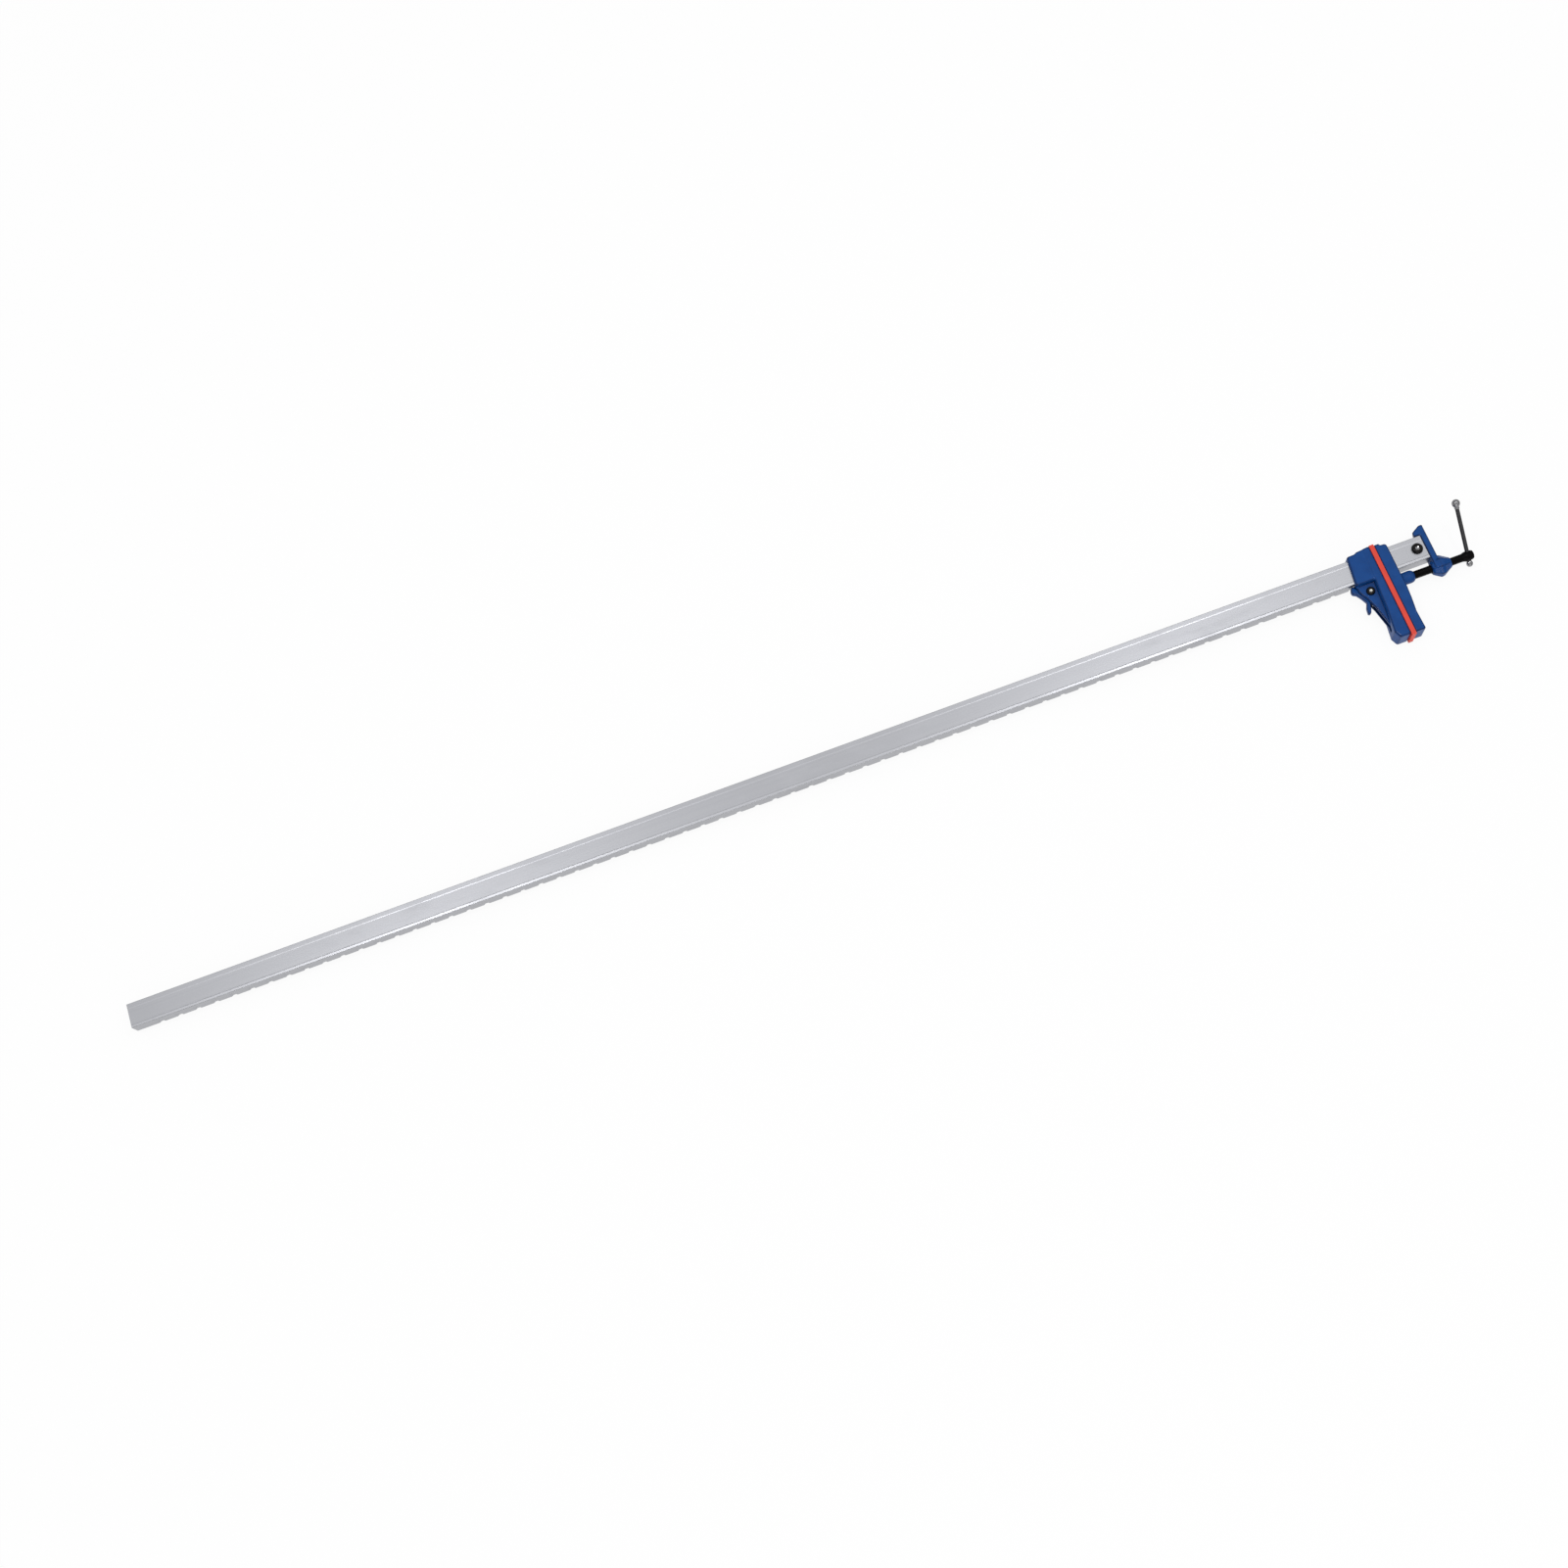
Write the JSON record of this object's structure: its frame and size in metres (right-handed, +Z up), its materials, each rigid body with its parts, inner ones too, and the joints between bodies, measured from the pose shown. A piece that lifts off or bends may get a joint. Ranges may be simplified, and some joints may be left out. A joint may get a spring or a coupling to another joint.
{
  "type": "bar clamp",
  "caption": "Long aluminium-bar sash clamp with a notched bar, a sliding jaw on a sprung dog, and a screw-driven jaw turned by a sliding tommy bar.",
  "frame": {"origin": "middle of the clamp's footprint as it lies on its side, at the underside of the jaws", "axes": "+X along the bar towards the screw, +Y from the tips of the jaws towards the bar, +Z up from the underside of the jaws"},
  "size_m": [1.624, 0.1254, 0.0563],
  "materials": {
    "aluminium": "extruded, satin, clear anodised",
    "blue_enamel": "stoved blue enamel over a casting",
    "red_plastic": "moulded, satin",
    "black_steel": "blackened and oiled",
    "rod_steel": "dark plated, drawn",
    "chrome": "polished",
    "bright_steel": "zinc plated",
    "black_plastic": "moulded, fine texture"
  },
  "bodies": {
    "bar": {"bar": "aluminium", "bar_end_plug": "black_plastic", "screw_head": "blue_enamel", "head_bolt": "black_steel", "head_nut": "black_steel"},
    "tail_jaw": {"tail_jaw": "blue_enamel", "tail_jaw_pad": "red_plastic", "pivot_bolt": "black_steel", "pivot_sleeve": "bright_steel", "pivot_washer": "bright_steel", "pivot_nut": "black_steel", "dog_spring": "bright_steel"},
    "dog": {"dog_lever": "blue_enamel"},
    "screw_jaw": {"screw_jaw": "blue_enamel", "screw_jaw_pad": "red_plastic", "thrust_washer": "bright_steel"},
    "screw": {"screw_spindle": "black_steel", "retaining_clip": "bright_steel"},
    "tommy": {"tommy_rod": "rod_steel", "tommy_ball_upper": "chrome", "tommy_ball_lower": "chrome"}
  },
  "joints": [
    {"name": "tail_slide", "type": "slide", "parent": "bar", "child": "tail_jaw", "axis": [-1, 0, 0], "range_m": [0, 1.452]},
    {"name": "dog_pivot", "type": "hinge", "parent": "tail_jaw", "child": "dog", "pos_m": [0.68593, 0.0049, 0.01285], "axis": [0, 0, 1], "range_deg": [-4, 12], "stiffness_Nm_per_rad": 0.25, "deforming": ["dog_spring"]},
    {"name": "screw_slide", "type": "slide", "parent": "bar", "child": "screw_jaw", "axis": [1, 0, 0], "range_m": [0, 0.0201]},
    {"name": "screw_turn", "type": "hinge", "parent": "screw_jaw", "child": "screw", "pos_m": [0.71013, 0.00709, 0.01285], "axis": [1, 0, 0], "range_deg": [0, 2400]},
    {"name": "tommy_slide", "type": "slide", "parent": "screw", "child": "tommy", "axis": [0, 0.7955, 0.606], "range_m": [-0.0534, 0]}
  ],
  "couplings": [
    {"joint": "screw_slide", "follows": "screw_turn", "m_per_rad": 0.00047746}
  ]
}
